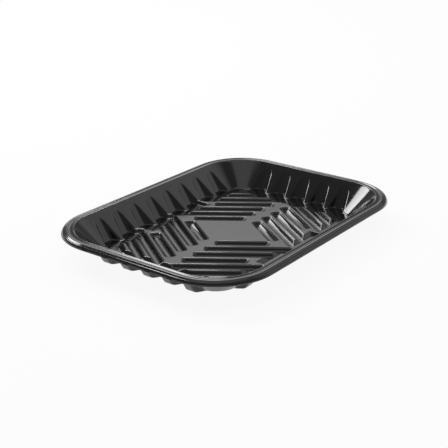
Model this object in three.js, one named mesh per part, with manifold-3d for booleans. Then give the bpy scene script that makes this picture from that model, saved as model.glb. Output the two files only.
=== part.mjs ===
// A shallow tray for portions of meat, thermoformed from one sheet of black plastic.
// The sheet is drawn over a mould, so the underside repeats the inside one sheet thickness away.
// Millimetres, +Z up, +X along the tray. The origin is on the table, under the middle of the tray.
import * as THREE from 'three';
import { ConvexGeometry } from 'three/addons/geometries/ConvexGeometry.js';
import { mergeVertices } from 'three/addons/utils/BufferGeometryUtils.js';
import Module from 'manifold-3d';

// Sheet and heights
const sheet = 0.6;
const landHeight = 2.7;
const wallHeight = 17.4;

// Mouth of the bowl, where the wall turns out into the flange
const mouthLength = 224;
const mouthWidth = 160;
const mouthRadius = 37.5;
const mouthRound = 1.6;

// Wall, which leans out by its flare from the land's level up to the mouth
const wallFlare = 17.6;
const footRound = 2.4;

// Rim outside the mouth: dished flange, raised bead, small step and turned-down skirt
const flangeWidth = 4;
const flangeDish = 0.3;
const dishRun = 1.2;
const beadWidth = 3;
const beadHeight = 0.6;
const stepWidth = 1.1;
const stepDrop = 0.9;
const stepFall = 0.15;
const skirtDrop = 2.1;
const skirtLean = 1.3;

// Flutes pressed out into the wall, from a width of their own at the top to another at the foot
const longFlutes = 8;
const shortFlutes = 5;
const longFlutePitch = 19.7;
const shortFlutePitch = 19.4;
const fluteStart = 3.6;
const fluteTopWidth = 6.8;
const fluteFootWidth = 13.4;
const fluteBulge = 5;
const fluteSideRun = 1.6;

// Raised land in the middle of the floor, with a moat round it and tabs across the moat
const landLength = 155;
const landWidth = 101;
const landRadius = 12;
const landSideRun = 1.6;
const tabWidth = 6.4;
const tabSpacing = 39.4;

// Grooves in the land: nested diamonds round a bare middle, each quarter with parallel grooves
const grooveAngle = 55;
const firstGrooveReach = 30.6;
const grooveSpacing = 13.2;
const grooveMouth = 7.6;
const grooveSideRun = 2.1;
const grooveRound = 2.2;
const grooveCount = 7;
const spineGap = 3.2;
const firstGrooveRise = 36;
const fourthGrooveRise = 43.5;

// Facets of the round stretches, and how far a cutting form reaches past what it cuts
const cornerSteps = 8;
const roundSteps = 3;
const beadSteps = 5;
const past = 3;

// Levels and slopes worked out from the sizes
const floorLevel = sheet;
const landLevel = floorLevel + landHeight;
const mouthLevel = landLevel + wallHeight;
const wallSlope = Math.atan2(wallHeight, wallFlare);
const mouthTangent = mouthRound * Math.tan(wallSlope / 2);

const wasm = await Module();
wasm.setup();

// Turns a closed geometry into a solid that can be cut and joined
function solidFrom(geometry) {
  geometry.deleteAttribute('normal');
  geometry.deleteAttribute('uv');
  const merged = mergeVertices(geometry, 1e-5);
  const mesh = new wasm.Mesh({
    numProp: 3,
    vertProperties: new Float32Array(merged.attributes.position.array),
    triVerts: new Uint32Array(merged.index.array),
  });
  return new wasm.Manifold(mesh);
}

function joined(solids) {
  return solids.reduce((sum, solid) => sum.add(solid));
}

// Skin over rings of equally many points. Open ends are closed by fans, since the rings are convex
function loft(rings, endless = false) {
  const count = rings[0].length;
  const positions = rings.flat().flatMap((p) => [p.x, p.y, p.z]);
  const index = [];
  const bands = endless ? rings.length : rings.length - 1;
  for (let r = 0; r < bands; r++) {
    const low = r * count;
    const high = ((r + 1) % rings.length) * count;
    for (let i = 0; i < count; i++) {
      const j = (i + 1) % count;
      index.push(low + i, low + j, high + j, low + i, high + j, high + i);
    }
  }
  if (!endless) {
    const last = (rings.length - 1) * count;
    for (let i = 1; i < count - 1; i++) {
      index.push(0, i + 1, i, last, last + i, last + i + 1);
    }
  }
  const geometry = new THREE.BufferGeometry();
  geometry.setAttribute('position', new THREE.Float32BufferAttribute(positions, 3));
  geometry.setIndex(index);
  return solidFrom(geometry);
}

// A face of a convex form: a point on it, its outward normal, and whether it moves with the skin
function face(point, normal, moves = true) {
  return { point, normal: normal.clone().normalize(), moves };
}

// Convex form between faces, each moved out along its normal by the skin
function convexForm(faces, skin) {
  const planes = faces.map(({ point, normal, moves }) => {
    const plane = new THREE.Plane().setFromNormalAndCoplanarPoint(normal, point);
    plane.constant -= moves ? skin : 0;
    return plane;
  });
  const corners = [];
  for (let a = 0; a < planes.length; a++) {
    for (let b = a + 1; b < planes.length; b++) {
      for (let c = b + 1; c < planes.length; c++) {
        const corner = meetingPoint(planes[a], planes[b], planes[c]);
        if (corner && planes.every((plane) => plane.distanceToPoint(corner) < 1e-6)) corners.push(corner);
      }
    }
  }
  return solidFrom(new ConvexGeometry(corners));
}

// Point where three planes meet, or null where they don't
function meetingPoint(p, q, r) {
  const cross = new THREE.Vector3().crossVectors(q.normal, r.normal);
  const volume = p.normal.dot(cross);
  if (Math.abs(volume) < 1e-9) return null;
  const point = cross.multiplyScalar(-p.constant);
  point.addScaledVector(new THREE.Vector3().crossVectors(r.normal, p.normal), -q.constant);
  point.addScaledVector(new THREE.Vector3().crossVectors(p.normal, q.normal), -r.constant);
  return point.divideScalar(volume);
}

// Sloping side of a raised or sunken form, set by its edge at a level and the way it faces in plan
function sideFace(edge, heading, run, rise) {
  return face(edge, new THREE.Vector3(heading.x * rise, heading.y * rise, run));
}

// The mouth outline, moved out by a distance, at a level, anticlockwise seen from above
function mouthRing(out, level) {
  const ring = [];
  const radius = mouthRadius + out;
  [[1, 1], [-1, 1], [-1, -1], [1, -1]].forEach(([sx, sy], corner) => {
    for (let i = 0; i <= cornerSteps; i++) {
      const angle = (corner + i / cornerSteps) * Math.PI / 2;
      ring.push(new THREE.Vector3(
        sx * (mouthLength / 2 - mouthRadius) + radius * Math.cos(angle),
        sy * (mouthWidth / 2 - mouthRadius) + radius * Math.sin(angle),
        level));
    }
  });
  return ring;
}

// Points of an arc in the wall's section, as pairs of distance out and level
function sectionArc(out, level, radius, from, to) {
  return Array.from({ length: roundSteps + 1 }, (_, i) => {
    const angle = from + (to - from) * i / roundSteps;
    return [out + radius * Math.cos(angle), level + radius * Math.sin(angle)];
  });
}

// Distance out of the wall's inner face at a level, as if it ran on straight past its rounds
function wallOut(level) {
  return (level - mouthLevel) / Math.tan(wallSlope);
}

// Room inside the plain bowl, grown by a skin, from the moat's bottom to a top level
function bowlForm(skin, topLevel) {
  const footOut = wallOut(floorLevel) - footRound * Math.tan(wallSlope / 2);
  const right = Math.PI / 2;
  const foot = sectionArc(footOut, floorLevel + footRound, footRound + skin, -right, wallSlope - right);
  const mouth = sectionArc(mouthTangent, mouthLevel - mouthRound, mouthRound - skin, wallSlope + right, right);
  const profile = [...foot, ...mouth, [mouthTangent, topLevel]];
  return loft(profile.map(([out, level]) => mouthRing(out, level)));
}

// One flute, grown by a skin, in a wall that stands at y = 0 at its mouth with the bowl towards -y
function fluteForm(skin) {
  const topLevel = mouthLevel - fluteStart;
  const top = new THREE.Vector3(fluteTopWidth / 2, wallOut(topLevel), topLevel);
  const foot = new THREE.Vector3(fluteFootWidth / 2, wallOut(landLevel), landLevel);
  const back = new THREE.Vector3(foot.x - fluteSideRun, foot.y + fluteBulge, landLevel);
  const sideNormal = new THREE.Plane().setFromCoplanarPoints(foot, back, top).normal;
  const drop = topLevel - landLevel;
  const backNormal = new THREE.Vector3(0, drop, back.y - top.y);
  if (sideNormal.x < 0) sideNormal.negate();
  const mirrored = new THREE.Vector3(-1, 1, 1);
  return convexForm([
    face(back, backNormal),
    face(foot, sideNormal),
    face(foot.clone().multiply(mirrored), sideNormal.clone().multiply(mirrored)),
    face(new THREE.Vector3(0, 0, floorLevel), new THREE.Vector3(0, 0, -1)),
    face(new THREE.Vector3(0, 0, mouthLevel - mouthRound), new THREE.Vector3(0, 0, 1), false),
    face(new THREE.Vector3(0, foot.y - past, 0), new THREE.Vector3(0, -1, 0), false),
  ], skin);
}

// Places of a row of copies, centred on nought
function row(count, pitch) {
  return Array.from({ length: count }, (_, i) => (i - (count - 1) / 2) * pitch);
}

// All flutes, grown by a skin
function fluteRows(skin) {
  const flute = fluteForm(skin);
  const sides = [
    { turn: 0, away: mouthWidth / 2, places: row(longFlutes, longFlutePitch) },
    { turn: 90, away: mouthLength / 2, places: row(shortFlutes, shortFlutePitch) },
    { turn: 180, away: mouthWidth / 2, places: row(longFlutes, longFlutePitch) },
    { turn: 270, away: mouthLength / 2, places: row(shortFlutes, shortFlutePitch) },
  ];
  return joined(sides.flatMap(({ turn, away, places }) => places.map((place) =>
    flute.translate([place, away, 0]).rotate([0, 0, turn]))));
}

// Raised plate with rounded corners and sloping sides, lowered and narrowed by a skin
function plateForm(length, width, radius, run, skin) {
  const faces = [
    face(new THREE.Vector3(0, 0, landLevel), new THREE.Vector3(0, 0, 1)),
    face(new THREE.Vector3(0, 0, -past), new THREE.Vector3(0, 0, -1), false),
  ];
  [[1, 1], [-1, 1], [-1, -1], [1, -1]].forEach(([sx, sy], corner) => {
    for (let i = 0; i <= roundSteps; i++) {
      const angle = (corner + i / roundSteps) * Math.PI / 2;
      const heading = new THREE.Vector3(Math.cos(angle), Math.sin(angle), 0);
      const edge = new THREE.Vector3(
        sx * (length / 2 - radius), sy * (width / 2 - radius), landLevel);
      faces.push(sideFace(edge.addScaledVector(heading, radius), heading, run, landHeight));
    }
  });
  return convexForm(distinct(faces), -skin);
}

// Faces without those that repeat another
function distinct(faces) {
  return faces.filter((one, i) => !faces.slice(0, i).some((other) =>
    one.normal.distanceTo(other.normal) < 1e-6
    && Math.abs(one.normal.dot(one.point) - other.normal.dot(other.point)) < 1e-6));
}

// Land and the tabs that join it to the ribs between flutes, lowered by a skin
function landForm(skin) {
  const plate = plateForm(landLength, landWidth, landRadius, landSideRun, skin);
  const reach = mouthWidth - 2 * fluteStart;
  const tab = plateForm(tabWidth, reach, landSideRun, landSideRun, skin);
  return joined([plate, ...[-1, 0, 1].map((place) => tab.translate([place * tabSpacing, 0, 0]))]);
}

// One groove of the quarter towards +x and +y, grown by a skin
function grooveForm(number, skin) {
  const angle = THREE.MathUtils.degToRad(grooveAngle);
  const along = new THREE.Vector3(-Math.cos(angle), Math.sin(angle), 0);
  const across = new THREE.Vector3(Math.sin(angle), Math.cos(angle), 0);
  const reach = firstGrooveReach + grooveSpacing * (number - 1);
  const runOut = landWidth / 2 + past;
  const rises = { 1: firstGrooveRise, 4: fourthGrooveRise };
  const start = (spineGap + grooveMouth / 2 * across.y) / along.y;
  const finish = (rises[number] ?? runOut) / along.y;
  const middle = new THREE.Vector3(reach, 0, landLevel);
  const faces = [
    face(new THREE.Vector3(0, 0, landLevel + past), new THREE.Vector3(0, 0, 1), false),
    face(new THREE.Vector3(0, 0, -past), new THREE.Vector3(0, 0, -1), false),
  ];
  for (const side of [-1, 1]) {
    const edge = middle.clone().addScaledVector(across, side * grooveMouth / 2);
    faces.push(sunkenFace(edge, across.clone().multiplyScalar(side)));
    for (const [end, away] of [[start, -1], [finish, 1]]) {
      const endHeading = along.clone().multiplyScalar(away);
      const centre = middle.clone().addScaledVector(along, end - away * grooveRound)
        .addScaledVector(across, side * (grooveMouth / 2 - grooveRound));
      const diagonal = endHeading.clone().addScaledVector(across, side).normalize();
      faces.push(sunkenFace(centre.addScaledVector(diagonal, grooveRound), diagonal));
      if (side > 0) {
        faces.push(sunkenFace(middle.clone().addScaledVector(along, end), endHeading));
      }
    }
  }
  return convexForm(faces, skin);
}

// Sloping side of a groove, leaning outwards towards the land
function sunkenFace(edge, heading) {
  return face(edge, new THREE.Vector3(heading.x * landHeight, heading.y * landHeight, -grooveSideRun));
}

// Grooves of all four quarters, grown by a skin
function grooveQuarters(skin) {
  const numbers = Array.from({ length: grooveCount }, (_, i) => i + 1);
  const quarter = joined(numbers.map((number) => grooveForm(number, skin)));
  const half = quarter.add(quarter.mirror([1, 0, 0]));
  return half.add(half.mirror([0, 1, 0]));
}

// Mould form of the whole inside, grown by a skin
function mouldForm(skin, topLevel) {
  const land = landForm(skin).subtract(grooveQuarters(skin));
  return bowlForm(skin, topLevel).add(fluteRows(skin)).subtract(land);
}

// Upper line of the rim's section, from just inside the mouth to the foot of the skirt
function rimLine() {
  const beadStart = flangeWidth;
  const stepStart = beadStart + beadWidth;
  const stepEnd = stepStart + stepWidth;
  const line = [[mouthTangent - sheet, 0], [mouthTangent, 0], [mouthTangent + dishRun, -flangeDish]];
  for (let i = 0; i <= beadSteps; i++) {
    const share = i / beadSteps;
    const fall = THREE.MathUtils.lerp(flangeDish, stepDrop, share);
    line.push([beadStart + beadWidth * share, beadHeight * Math.sin(Math.PI * share) - fall]);
  }
  line.push([stepEnd, -stepDrop - stepFall]);
  line.push([stepEnd + skirtLean, -stepDrop - skirtDrop]);
  return line.map(([out, level]) => new THREE.Vector2(out, mouthLevel + level));
}

// The line moved down by one sheet, square to itself
function lowerLine(line) {
  return line.map((point, i) => {
    const before = line[Math.max(i - 1, 0)];
    const after = line[Math.min(i + 1, line.length - 1)];
    const way = after.clone().sub(before).normalize();
    return new THREE.Vector2(point.x + way.y * sheet, point.y - way.x * sheet);
  });
}

// Rim: flange, bead, step and skirt, as one closed band round the mouth
function rim() {
  const upper = rimLine();
  const section = [...lowerLine(upper), ...upper.reverse()];
  return loft(section.map((point) => mouthRing(point.x, point.y)), true);
}

// Tray: the mould grown by the sheet, with the rim, less the mould itself
function trayGeometry() {
  const outside = mouldForm(sheet, mouthLevel - sheet / 2).add(rim());
  const tray = outside.subtract(mouldForm(0, mouthLevel + past));
  const { vertProperties, triVerts } = tray.getMesh();
  const geometry = new THREE.BufferGeometry();
  geometry.setAttribute('position', new THREE.BufferAttribute(vertProperties, 3));
  geometry.setIndex(new THREE.BufferAttribute(triVerts, 1));
  geometry.computeVertexNormals();
  return geometry;
}

const blackPlastic = new THREE.MeshStandardMaterial({ color: 0x1d1d1e, roughness: 0.22, metalness: 0 });
const tray = new THREE.Mesh(trayGeometry(), blackPlastic);
tray.name = 'tray';

const part = new THREE.Group();
part.add(tray);

export default part;
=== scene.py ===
# %% [markdown]
# # A thermoformed meat tray
# The real tray is one sheet of black plastic, about 0.6 mm thick. A machine heats the sheet, lays it
# over a mould and sucks out the air from under it, so every rib and groove of the mould shows on both
# faces. This lesson makes the tray in the same order: a flat sheet, a rule that says where the mould
# takes each place of it, and the thickness last.
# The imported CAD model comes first. It sets the size, and the sheet must end up where its solid is.

# %% Load the frame
import bpy
import math
from mathutils import Matrix, Vector
from mathutils.geometry import delaunay_2d_cdt


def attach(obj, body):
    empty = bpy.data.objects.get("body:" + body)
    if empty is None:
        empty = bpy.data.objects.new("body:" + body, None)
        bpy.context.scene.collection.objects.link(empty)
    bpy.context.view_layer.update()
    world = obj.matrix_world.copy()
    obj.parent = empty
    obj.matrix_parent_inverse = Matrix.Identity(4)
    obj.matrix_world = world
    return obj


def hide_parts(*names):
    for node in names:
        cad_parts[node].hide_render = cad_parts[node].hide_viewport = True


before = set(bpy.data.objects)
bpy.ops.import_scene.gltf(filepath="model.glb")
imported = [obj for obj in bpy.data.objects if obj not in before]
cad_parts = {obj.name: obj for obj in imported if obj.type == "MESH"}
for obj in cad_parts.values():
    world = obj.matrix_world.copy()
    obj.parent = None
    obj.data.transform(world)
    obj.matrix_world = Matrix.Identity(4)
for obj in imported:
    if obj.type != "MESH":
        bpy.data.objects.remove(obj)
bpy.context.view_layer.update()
MM = 0.001

# %% [markdown]
# ## The sizes
# A mould maker would write these numbers on the drawing, in millimetres. The main ones are those of the
# CAD source. A few details differ a little, since this mesh is fine enough to round what a faceted solid
# has to keep plain. The flutes lean more at their sides, and are 1 mm wider at the foot and 0.2 mm
# deeper. The grooves are 0.2 mm wider, and two of them run on by up to 2.5 mm. The bead is 0.04 mm lower
# and the rim reaches 0.01 mm less, so that the tray stays inside the CAD box. Heights start at the table
# that the tray stands on.

# %% Sizes of the mould, in millimetres
SHEET = 0.6
FLOOR, LAND, MOUTH = 0.6, 3.3, 20.7
MOUTH_X, MOUTH_Y, MOUTH_RADIUS = 112.0, 80.0, 37.5
FLAT_X, FLAT_Y = MOUTH_X - MOUTH_RADIUS, MOUTH_Y - MOUTH_RADIUS
WALL_FLARE = 17.6
WALL_SLOPE = (MOUTH - LAND) / WALL_FLARE
RIM_REACH = 9.39
FLUTE_TOP = MOUTH - 3.6
FLUTE_RISE = FLUTE_TOP - LAND
TOP_HALF, FOOT_HALF, SIDE_RUN, FLUTE_BULGE = 3.4, 7.2, 3.2, 5.2
LONG_FLUTES, LONG_PITCH = 8, 19.7
SHORT_FLUTES, SHORT_PITCH = 5, 19.4
GROOVE_SPACING = 13.2
GROOVE_ANGLE = math.radians(55)
print("Wall angle:", round(math.degrees(math.atan(WALL_SLOPE)), 1), "degrees")

# %% [markdown]
# ## The camera
# The photo was taken with a long lens, looking down on the tray by about 22 degrees, across one corner.
# The numbers come from fitting the rim's outline. The camera is made early, because all that follows is
# judged through it.

# %% Camera
camera_data = bpy.data.cameras.new("camera")
camera_data.lens = 80.1
camera_data.sensor_width = 36
camera_data.clip_start, camera_data.clip_end = 0.05, 50
camera = bpy.data.objects.new("camera", camera_data)
camera.location = (-0.5763, -0.4268, 0.2982)
aim = Vector((-0.0268, -0.01352, 0.0207))
camera.rotation_euler = (aim - camera.location).to_track_quat("-Z", "Y").to_euler()
bpy.context.scene.collection.objects.link(camera)
bpy.context.scene.camera = camera
print("The camera stands", round((aim - camera.location).length, 3), "m from where it looks")

# %% [markdown]
# ## A flat sheet with cells in the right places
# A rule can only show what the mesh under it can follow, so the cells must run along the tray's edges.
# Round the outside they lie in rows that follow the mouth's outline. The columns across those rows come
# closer together towards the top of each flute, just as the flute gets narrower.

# %% Columns round the outline
CELL = 0.55


def outline():
    """The way round the mouth: (length, centre, next centre, heading, turn) of each arc and straight."""
    corners = [Vector((sx * FLAT_X, sy * FLAT_Y)) for sx, sy in [(1, 1), (-1, 1), (-1, -1), (1, -1)]]
    for i, corner in enumerate(corners):
        heading = i * math.pi / 2
        after = corners[(i + 1) % 4]
        yield MOUTH_RADIUS * math.pi / 2, corner, corner, heading, math.pi / 2
        yield (after - corner).length, corner, after, heading + math.pi / 2, 0


PIECES = list(outline())
AROUND = sum(piece[0] for piece in PIECES)


def place(along, out):
    """A place in plan: so far along the mouth's outline, and so far out from it."""
    along %= AROUND
    for length, centre, after, heading, turn in PIECES:
        if along <= length:
            break
        along -= length
    share = along / length
    angle = heading + turn * share
    radius = MOUTH_RADIUS + out
    spot = centre.lerp(after, share)
    return spot.x + radius * math.cos(angle), spot.y + radius * math.sin(angle)


# %% [markdown]
# A flute is a wedge: 14.4 mm wide at its foot and 6.8 mm at its top. Its columns keep their number while
# the wedge narrows. `squeezed` moves a column's distance from the flute's middle to suit a row. Above
# the flutes the columns go back to even steps.

# %% Columns that follow the flutes
NOMINAL = [0, FOOT_HALF - SIDE_RUN, FOOT_HALF]


def squeezed(distance, half_pitch, out):
    """A column's distance from a flute's middle, in the row that lies so far out."""
    low = min(max(-(MOUTH + out * WALL_SLOPE - FLUTE_TOP) / FLUTE_RISE, 0), 1)
    front = TOP_HALF + (FOOT_HALF - TOP_HALF) * low
    marks = [*NOMINAL, half_pitch]
    moved = [0, front - max(SIDE_RUN * low, 0.5), front, half_pitch]
    for k in range(3):
        if distance <= marks[k + 1]:
            return moved[k] + (moved[k + 1] - moved[k]) * (distance - marks[k]) / (marks[k + 1] - marks[k])
    return distance


columns = []
at = 0.0
for index, (length, *_, turn) in enumerate(PIECES):
    if turn:
        steps = round(length / (1.6 * CELL))
        columns += [(at + length * i / steps, None, 0) for i in range(steps)]
    else:
        count, pitch = (LONG_FLUTES, LONG_PITCH) if index in (1, 5) else (SHORT_FLUTES, SHORT_PITCH)
        centres = [at + length / 2 + (i - (count - 1) / 2) * pitch for i in range(count)]
        steps = round(length / CELL)
        for i in range(steps):
            here = at + length * i / steps
            columns.append((here, min(centres, key=lambda c: abs(c - here)), pitch / 2))
    at += length


def column_place(column, out):
    here, centre, half_pitch = column
    if centre is None:
        return place(here, out)
    away = here - centre
    share = min(max(-out / 3.6, 0), 1)
    moved = math.copysign(squeezed(abs(away), half_pitch, out), away)
    return place(here + (centre + moved - here) * share, out)


print(len(columns), "columns round the tray")

# %% [markdown]
# Rows lie closer on the rim, where the bead is only 3 mm wide, than on the wall.

# %% Rows
RING_START = -26.0
rows = [RING_START]
while rows[-1] < RIM_REACH - 1e-6:
    rows.append(min(rows[-1] + (CELL * 0.9 if rows[-1] < -2 else CELL * 0.45), RIM_REACH))
points = [column_place(column, out) for out in rows for column in columns]
faces = []
for r in range(len(rows) - 1):
    for i in range(len(columns)):
        here, beside = r * len(columns), (i + 1) % len(columns)
        faces.append((here + i, here + len(columns) + i, here + len(columns) + beside, here + beside))
print(len(rows), "rows and", len(faces), "cells outside the floor")

# %% [markdown]
# In each quarter of the floor the grooves run at 55 degrees. A cell whose height is its width times the
# tangent of 55 has a diagonal at that angle. Each cell is split along it, so that the groove's edges
# follow cell edges and stay straight.

# %% Cells that lean with the grooves
def mouth_distance(x, y):
    """How far a place in plan lies outside the mouth's outline. Inside, it is below nought."""
    qx, qy = abs(x) - FLAT_X, abs(y) - FLAT_Y
    return math.hypot(max(qx, 0), max(qy, 0)) + min(max(qx, qy), 0) - MOUTH_RADIUS


cell_x = GROOVE_SPACING / round(GROOVE_SPACING / CELL)
cell_y = cell_x * math.tan(GROOVE_ANGLE)
seats = {}
for i in range(-int(90 / cell_x), int(90 / cell_x) + 1):
    for j in range(-int(60 / cell_y), int(60 / cell_y) + 1):
        if mouth_distance(i * cell_x, j * cell_y) < RING_START - 0.7 * CELL:
            seats[i, j] = len(points)
            points.append((i * cell_x, j * cell_y))
leaning = []
kept = set()
for i, j in seats:
    corners = [seats.get(key) for key in [(i, j), (i + 1, j), (i + 1, j + 1), (i, j + 1)]]
    if None in corners:
        continue
    a, b, c, d = corners
    kept.add((i, j))
    leaning += [(a, b, d), (b, c, d)] if (i >= 0) == (j >= 0) else [(a, b, c), (a, c, d)]
print(len(leaning), "leaning cells on the floor")

# %% [markdown]
# A narrow gap is left between the leaning cells and the first row, with steps on one side. Blender has a
# Delaunay triangulation for such a gap. It takes both borders and fills all that lies inside the outer
# one, so the triangles that fall on a leaning cell are left out again.

# %% Fill the gap
uses = {}
for face in leaning:
    for k in range(3):
        edge = frozenset((face[k], face[(k + 1) % 3]))
        uses[edge] = uses.get(edge, 0) + 1
border = [tuple(edge) for edge, count in uses.items() if count == 1]
border += [(i, (i + 1) % len(columns)) for i in range(len(columns))]
ends = sorted({v for edge in border for v in edge})
local = {v: k for k, v in enumerate(ends)}
INSIDE = 1


def on_leaning_cell(face):
    x, y = (sum(points[v][k] for v in face) / 3 for k in range(2))
    return (math.floor(x / cell_x), math.floor(y / cell_y)) in kept


_, _, strip, origins, _, _ = delaunay_2d_cdt(
    [Vector(points[v]) for v in ends], [(local[a], local[b]) for a, b in border], [], INSIDE, 1e-7)
strip = [tuple(ends[origins[v][0]] for v in face) for face in strip]
strip = [face for face in strip if not on_leaning_cell(face)]
print(len(strip), "cells in the gap")

# %% The flat sheet
used = sorted({v for face in faces + leaning + strip for v in face})
renumber = {v: k for k, v in enumerate(used)}
sheet_mesh = bpy.data.meshes.new("tray_sheet")
sheet_mesh.from_pydata([(*points[v], 0) for v in used], [],
                       [[renumber[v] for v in face] for face in faces + leaning + strip])
sheet_mesh.update()
tray = bpy.data.objects.new("tray_sheet", sheet_mesh)
bpy.context.scene.collection.objects.link(tray)
print("Flat sheet:", len(sheet_mesh.vertices), "vertices, all facing up:",
      all(face.normal.z > 0 for face in sheet_mesh.polygons))

# %% [markdown]
# ## Writing a rule as nodes
# Geometry Nodes can work out a number for each point from Math nodes. Dozens of them are hard to place
# and read by hand, so this small class lets a rule be written as a sum: `a + b` makes an Add node.
# `smooth_max` and `smooth_min` pick the higher or lower of two surfaces, and round the edge between them.
# That is what turns a few plain planes into soft moulded corners.

# %% Numbers inside a node tree
class Number:
    def __init__(self, tree, socket):
        self.tree, self.socket = tree, socket

    def node(self, operation, *others):
        made = self.tree.nodes.new("ShaderNodeMath")
        made.operation = operation
        for socket, value in zip(made.inputs, (self, *others)):
            if isinstance(value, Number):
                self.tree.links.new(value.socket, socket)
            else:
                socket.default_value = value
        return Number(self.tree, made.outputs[0])

    def __add__(self, other): return self.node("ADD", other)
    def __sub__(self, other): return self.node("SUBTRACT", other)
    def __mul__(self, other): return self.node("MULTIPLY", other)
    def __truediv__(self, other): return self.node("DIVIDE", other)
    __radd__ = __add__
    __rmul__ = __mul__

    def __rsub__(self, other): return self * -1 + other
    def __abs__(self): return self.node("ABSOLUTE")
    def sign(self): return self.node("SIGN")
    def at_least(self, other): return self.node("MAXIMUM", other)
    def at_most(self, other): return self.node("MINIMUM", other)
    def smooth_max(self, other, softness): return self.node("SMOOTH_MAX", other, softness)
    def smooth_min(self, other, softness): return self.node("SMOOTH_MIN", other, softness)
    def length_with(self, other): return (self * self + other * other).node("SQRT")


def rounded_box(across, along, half_across, half_along, radius):
    """How far a place lies outside a rounded rectangle in plan."""
    qx = abs(across) - (half_across - radius)
    qy = abs(along) - (half_along - radius)
    outside = qx.at_least(0).length_with(qy.at_least(0))
    return outside + qx.at_least(qy).at_most(0) - radius


print("A rule can now be written as a sum")

# %% [markdown]
# ## The mould
# The rule works from the outside in, as the sheet meets the mould:
# 1. The bowl: a floor and a wall at almost 45 degrees, with a soft corner where they meet.
# 2. The rim: a dished flange, a raised bead that stiffens it, a small step and a turned-down skirt.
# 3. The flutes, which push the wall outwards. They are side walls, so they move the points sideways. A
#    rule that only sets heights would tear such a steep face into a staircase.
# 4. The land in the middle of the floor, with tabs across the moat, and the grooves that drain it.

# %% The tree and its named inputs
press = bpy.data.node_groups.new("press", "GeometryNodeTree")
press.interface.new_socket("Geometry", in_out="INPUT", socket_type="NodeSocketGeometry")
press.interface.new_socket("Geometry", in_out="OUTPUT", socket_type="NodeSocketGeometry")
INPUTS = {
    "Floor level": FLOOR, "Land level": LAND, "Mouth level": MOUTH, "Wall slope": WALL_SLOPE,
    "Foot softness": 1.8, "Mouth softness": 1.3,
    "Flute depth": FLUTE_BULGE, "Flute softness": 2.6, "Flute edge softness": 2.0,
    "Land side slope": 2.7 / 1.6, "Groove spacing": GROOVE_SPACING, "First groove": 30.6,
    "Groove width": 7.8, "Groove side slope": 2.7 / 2.1, "Edge softness": 1.5,
}
identifiers = {}
for name, value in INPUTS.items():
    made = press.interface.new_socket(name, in_out="INPUT", socket_type="NodeSocketFloat")
    made.default_value = value
    identifiers[name] = made.identifier
group_in = press.nodes.new("NodeGroupInput")
given = {name: Number(press, group_in.outputs[name]) for name in INPUTS}
position = press.nodes.new("GeometryNodeInputPosition")
split = press.nodes.new("ShaderNodeSeparateXYZ")
press.links.new(position.outputs[0], split.inputs[0])
x, y = Number(press, split.outputs[0]), Number(press, split.outputs[1])
print(len(INPUTS), "named inputs")

# %% Bowl and rim
out = rounded_box(x, y, MOUTH_X, MOUTH_Y, MOUTH_RADIUS)
wall = given["Mouth level"] + out * given["Wall slope"]
bowl = wall.smooth_max(given["Floor level"], given["Foot softness"])

dish = ((out - 0.5) / 1.6).at_least(0).at_most(1) * -0.35
bead_share = ((out - 4) / 3).at_least(0).at_most(1)
bead = (bead_share * math.pi).node("SINE") * 0.56
fall = bead_share * -0.4 - ((out - 7).at_least(0) * 0.14)
skirt = (out - 8.1) * -1.5 - 1.05
rim_drop = (dish + bead + fall).smooth_min(skirt, 0.35)
level = bowl.smooth_min(given["Mouth level"] + rim_drop, given["Mouth softness"])
print("Bowl and rim:", len(press.nodes), "nodes so far")

# %% [markdown]
# A flute's depth at a place comes from its two sides and its back. `low` is 1 at the foot of the wall and
# nearly 0 at the flute's top. `steepness` is how deep a side goes for each millimetre along the wall. One
# flute is written down, and the nearest flute's middle makes all the others: that is how a rule repeats.
# A rounded edge lifts the wall beside it a little. So its softness shrinks to almost nothing above the
# flutes, and the rim stays plain. `onset` brings the flutes in outside the middle of the floor.

# %% Flutes
low = (FLUTE_TOP - level) / FLUTE_RISE
low = low.smooth_max(0.001, 0.06)
onset = ((out + 25) / 3.5).at_least(0).at_most(1)
onset = onset * onset * (3 - 2 * onset)


def bulge(along, count, pitch):
    """How far the flutes of a wall push it out, at a place so far along that wall."""
    last = (count - 1) / 2
    number = (along / pitch + last).node("ROUND").at_least(0).at_most(count - 1)
    away = abs(along - (number - last) * pitch)
    steepness = FLUTE_BULGE / SIDE_RUN
    side = (TOP_HALF + (FOOT_HALF - TOP_HALF) * low - away) * steepness
    depth = side.smooth_min(given["Flute depth"] * low, given["Flute softness"])
    softness = (low * 8).at_most(given["Flute edge softness"])
    return depth.smooth_max(0, softness) * onset


pushed_y = y + y.sign() * bulge(x, LONG_FLUTES, LONG_PITCH)
pushed_x = x + x.sign() * bulge(y, SHORT_FLUTES, SHORT_PITCH)
print("Flutes:", len(press.nodes), "nodes so far")

# %% [markdown]
# The land's grooves are rounded slots. In one quarter, a slot's middle line is a straight line at 55
# degrees, so "how far along the x axis does this line start" tells which groove is nearest.

# %% Land, tabs and grooves
land_out = rounded_box(pushed_x, pushed_y, 77.5, 50.5, 12)
plate = given["Land level"] - land_out * given["Land side slope"]
tab_number = (pushed_x / 39.4).node("ROUND").at_least(-1).at_most(1)
tab_out = abs(pushed_x - tab_number * 39.4) - 3.2
tab = given["Land level"] - tab_out * given["Land side slope"]
land = plate.smooth_max(tab, 0.5).smooth_min(given["Land level"], given["Edge softness"])

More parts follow.
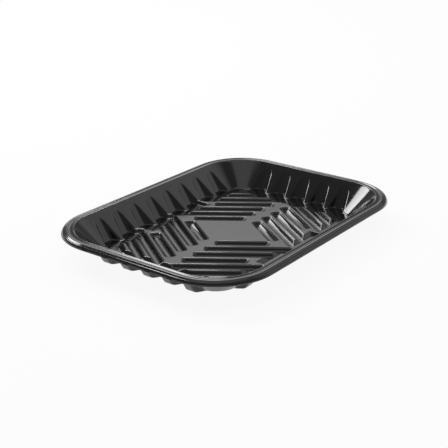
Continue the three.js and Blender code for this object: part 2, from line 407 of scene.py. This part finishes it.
sin_a, cos_a = math.sin(GROOVE_ANGLE), math.cos(GROOVE_ANGLE)
start = abs(pushed_x) + abs(pushed_y) * (cos_a / sin_a)
number = ((start - given["First groove"]) / given["Groove spacing"]).node("ROUND").at_least(0).at_most(6)
across = (start - given["First groove"] - number * given["Groove spacing"]) * sin_a
along = (abs(pushed_y) - across * cos_a) / sin_a
half_width = given["Groove width"] / 2
inner_end = (half_width * cos_a + 3.2) / sin_a
is_first = number.node("COMPARE", 0, 0.5)
is_fourth = number.node("COMPARE", 3, 0.5)
rise = 60 - is_first * (60 - 38.5) - is_fourth * (60 - 44.5)
outer_end = rise / sin_a
half_length = (outer_end - inner_end) / 2
slot_out = rounded_box(across, along - (outer_end + inner_end) / 2, half_width, half_length, 2.2)
slot = given["Land level"] + slot_out * given["Groove side slope"]
land = land.smooth_min(slot, given["Edge softness"])
height = level.smooth_max(land, given["Edge softness"]).at_least(given["Floor level"])
print("Land and grooves:", len(press.nodes), "nodes in all")

# %% [markdown]
# ## Pressing the sheet
# Set Position moves every point to where the rule says. The tree ends in Realize Instances and Set
# Material, so the mesh that leaves it needs nothing else.
# The material is needed here, so it is made first.

# %% Material helpers
def linear(hex_colour):
    """An sRGB colour such as "1d1d1e" as the linear values that shaders work with."""
    parts = [int(hex_colour[i:i + 2], 16) / 255 for i in (0, 2, 4)]
    return (*[p / 12.92 if p <= 0.04045 else ((p + 0.055) / 1.055) ** 2.4 for p in parts], 1)


def add_node(tree, kind, links=(), **values):
    """A new node. `values` sets its options and its sockets, and `links` joins sockets to its inputs."""
    made = tree.nodes.new(kind)
    for name, value in values.items():
        if hasattr(made, name):
            setattr(made, name, value)
        else:
            made.inputs[name.replace("_", " ")].default_value = value
    for name, source in dict(links).items():
        tree.links.new(source, made.inputs[name])
    return made


def new_material(name):
    material = bpy.data.materials.new(name)
    material.use_nodes = True
    material.node_tree.nodes.clear()
    return material, material.node_tree


print("sRGB 808080 is", round(linear("808080")[0], 3), "in linear light")

# %% [markdown]
# ## Black thermoformed plastic
# Such sheet is glossy but not a mirror. Stretching leaves it very slightly wavy over some millimetres, and
# the mould's own grain prints through as an even finer texture. Both are far too shallow to model, so they
# are bumps. The gloss changes a little from place to place, since the sheet cools against metal in one
# place and in air in another.

# %% Material of the tray
black, tree = new_material("black_thermoformed_sheet")
coordinates = add_node(tree, "ShaderNodeTexCoord").outputs["Object"]


def noise(per_metre, detail, roughness=0.5):
    return add_node(tree, "ShaderNodeTexNoise", {"Vector": coordinates},
                    Scale=per_metre, Detail=detail, Roughness=roughness).outputs["Fac"]


gloss = add_node(tree, "ShaderNodeMapRange", {"Value": noise(45, 3)},
                 From_Min=0.3, From_Max=0.7, To_Min=0.09, To_Max=0.13)
tint = add_node(tree, "ShaderNodeMix", {"Factor": noise(60, 4)}, data_type="RGBA")
tint.inputs[6].default_value, tint.inputs[7].default_value = linear("111112"), linear("181819")
wave = add_node(tree, "ShaderNodeBump", {"Height": noise(110, 2)}, Strength=0.2, Distance=0.0001)
grain = add_node(tree, "ShaderNodeBump", {"Height": noise(1900, 2, 0.6), "Normal": wave.outputs[0]},
                 Strength=0.03, Distance=0.00002)
plastic = add_node(tree, "ShaderNodeBsdfPrincipled",
                   {"Base Color": tint.outputs[2], "Roughness": gloss.outputs[0],
                    "Normal": grain.outputs[0]}, IOR=1.5)
add_node(tree, "ShaderNodeOutputMaterial", {"Surface": plastic.outputs[0]})
print("Material", black.name, "has", len(tree.nodes), "nodes")

# %% End of the tree, and the pressing itself
place_node = press.nodes.new("ShaderNodeCombineXYZ")
for socket, value in zip(place_node.inputs, (pushed_x, pushed_y, height)):
    press.links.new(value.socket, socket)
set_position = add_node(press, "GeometryNodeSetPosition",
                        {"Geometry": group_in.outputs["Geometry"], "Position": place_node.outputs[0]})
smooth = add_node(press, "GeometryNodeSetShadeSmooth", {"Geometry": set_position.outputs[0]})
realized = add_node(press, "GeometryNodeRealizeInstances", {"Geometry": smooth.outputs[0]})
dressed = add_node(press, "GeometryNodeSetMaterial", {"Geometry": realized.outputs[0]})
dressed.inputs["Material"].default_value = black
add_node(press, "NodeGroupOutput", {"Geometry": dressed.outputs[0]})

pressing = tray.modifiers.new("press", "NODES")
pressing.node_group = press
for name, value in INPUTS.items():
    pressing[identifiers[name]] = value

# %% [markdown]
# ## Thickness
# Solidify gives the sheet its 0.6 mm, downwards, so the underside repeats the inside. Most of the cells
# now lie on plain flat faces where they are of no use. Decimate takes those away and keeps the cells of
# the rounded edges. The thinner mesh alone would shade unevenly, and gloss shows that at once. So it
# takes its shading directions from the dense mesh, with a Data Transfer modifier.
# All this is done in millimetres. In metres the cells would be so small that Decimate could no longer
# tell a rounded edge from a flat face. The last step turns the mesh into metres.

# %% Thickness and a lighter mesh
thickness = tray.modifiers.new("thickness", "SOLIDIFY")
thickness.thickness, thickness.offset = SHEET, -1


def plain_mesh(made):
    """The object's mesh as its modifiers leave it."""
    return bpy.data.meshes.new_from_object(made.evaluated_get(bpy.context.evaluated_depsgraph_get()))


dense = bpy.data.objects.new("dense", plain_mesh(tray))
bpy.context.scene.collection.objects.link(dense)
tray.modifiers.clear()
tray.data = dense.data.copy()
triangles = sum(len(face.vertices) - 2 for face in dense.data.polygons)
lighter = tray.modifiers.new("lighter", "DECIMATE")
lighter.ratio = min(1, 194000 / triangles)
shading = tray.modifiers.new("shading", "DATA_TRANSFER")
shading.object = dense
shading.use_loop_data = True
shading.data_types_loops = {"CUSTOM_NORMAL"}
shading.loop_mapping = "POLYINTERP_NEAREST"
finished = plain_mesh(tray)
tray.modifiers.clear()
bpy.data.objects.remove(dense)
finished.transform(Matrix.Scale(MM, 4))
tray.data = finished
finished.name = "tray_sheet"
print("Triangles:", triangles, "before and", sum(len(f.vertices) - 2 for f in finished.polygons), "after")

# %% Hand the tray to the frame
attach(tray, "root")
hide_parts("tray")
made_box = [[round(f(v.co[k] for v in finished.vertices) / MM, 2) for k in range(3)] for f in (min, max)]
print("The tray's box in mm:", made_box)

# %% [markdown]
# ## The studio
# The photo has a white ground and large soft lights. A black glossy tray shows almost nothing of its own
# colour: what is seen on it is the room. So each light is placed where a face of the tray mirrors it to
# the camera. The key light is the bright line along the near rim. The corner light is the white patch in
# the right corner. The top light lifts the whole tray a little.

# %% Floor
def stage_plane(name, size, material):
    mesh = bpy.data.meshes.new(name)
    mesh.from_pydata([(-size, -size, 0), (size, -size, 0), (size, size, 0), (-size, size, 0)], [], [(0, 1, 2, 3)])
    mesh.materials.append(material)
    made = bpy.data.objects.new(name, mesh)
    bpy.context.scene.collection.objects.link(made)
    return made


def seen_directly(tree):
    """1 for a ray from the camera or by way of gloss or glass, 0 for a ray that only carries soft light."""
    path = add_node(tree, "ShaderNodeLightPath").outputs
    seen = path["Is Camera Ray"]
    for name in ("Is Glossy Ray", "Is Transmission Ray"):
        made = add_node(tree, "ShaderNodeMath", operation="MAXIMUM")
        tree.links.new(seen, made.inputs[0])
        tree.links.new(path[name], made.inputs[1])
        seen = made.outputs[0]
    return seen


white, tree = new_material("white_paper")
paper = add_node(tree, "ShaderNodeBsdfDiffuse", Color=linear("f4f4f4"))
glow = add_node(tree, "ShaderNodeEmission", Color=linear("ffffff"), Strength=1.0)
share = add_node(tree, "ShaderNodeMath", {"Value": seen_directly(tree)}, operation="MULTIPLY")
share.inputs[1].default_value = 0.92
ground = add_node(tree, "ShaderNodeMixShader", {"Fac": share.outputs[0]})
tree.links.new(paper.outputs[0], ground.inputs[1])
tree.links.new(glow.outputs[0], ground.inputs[2])
add_node(tree, "ShaderNodeOutputMaterial", {"Surface": ground.outputs[0]})
floor = stage_plane("floor", 12.0, white)
print("Floor is", floor.dimensions.x, "m wide")

# %% Lamps
def direction(azimuth, elevation):
    """A direction from the tray. Azimuth counts from +X towards +Y, in degrees."""
    a, e = math.radians(azimuth), math.radians(elevation)
    return Vector((math.cos(a) * math.cos(e), math.sin(a) * math.cos(e), math.sin(e)))


def softbox(name, azimuth, elevation, distance, size, radiance, aim=(0, 0, 0)):
    """A lamp that faces `aim`. `radiance` is how bright its face looks, where white paper is 1."""
    away = direction(azimuth, elevation)
    data = bpy.data.lights.new(name, "AREA")
    data.shape, data.size, data.size_y = "RECTANGLE", *size
    data.energy = radiance * math.pi * size[0] * size[1]
    made = bpy.data.objects.new(name, data)
    made.location = Vector(aim) + away * distance
    made.rotation_euler = (-away).to_track_quat("-Z", "Y").to_euler()
    bpy.context.scene.collection.objects.link(made)
    return made


softbox("key_light", 46, 39, 2.6, (0.7, 0.56), 10)
softbox("corner_light", 90, 34, 1.4, (0.54, 0.42), 12, aim=(0.095, -0.055, 0.012))
softbox("top_light", 0, 88, 1.8, (1.4, 1.4), 0.8)

# %% [markdown]
# The broad soft light comes from the studio's walls, so it is part of the world. Each glow is a patch of
# wall that gets brighter towards its middle, with no edge. An edge would show as a line on the gloss. The
# first glow greys the level faces, the second greys the far long wall.

# %% World
world = bpy.data.worlds.new("studio")
bpy.context.scene.world = world
world.use_nodes = True
tree = world.node_tree
tree.nodes.clear()
toward = add_node(tree, "ShaderNodeTexCoord").outputs["Generated"]
# Azimuth, elevation, inner and outer radius in degrees, and radiance.
WALL_GLOWS = [(37, 30, 4, 14, 1.2), (-27, 34, 12, 32, 0.75), (42, 0, 8, 20, 1.0)]
strength = None
for azimuth, elevation, inner, outer, radiance in WALL_GLOWS:
    facing = add_node(tree, "ShaderNodeVectorMath", operation="DOT_PRODUCT")
    tree.links.new(toward, facing.inputs[0])
    facing.inputs[1].default_value = direction(azimuth, elevation)
    patch = add_node(tree, "ShaderNodeMapRange", {"Value": facing.outputs["Value"]},
                     interpolation_type="SMOOTHSTEP", From_Min=math.cos(math.radians(outer)),
                     From_Max=math.cos(math.radians(inner)), To_Min=0, To_Max=radiance)
    total = add_node(tree, "ShaderNodeMath", operation="ADD")
    tree.links.new(patch.outputs[0], total.inputs[0])
    if strength is None:
        total.inputs[1].default_value = 0.26
    else:
        tree.links.new(strength, total.inputs[1])
    strength = total.outputs[0]
room = add_node(tree, "ShaderNodeBackground", {"Strength": strength}, Color=linear("ffffff"))
add_node(tree, "ShaderNodeOutputWorld", {"Surface": room.outputs[0]})
bpy.context.scene.view_settings.view_transform = "Standard"
print("The walls have", len(WALL_GLOWS), "glows")
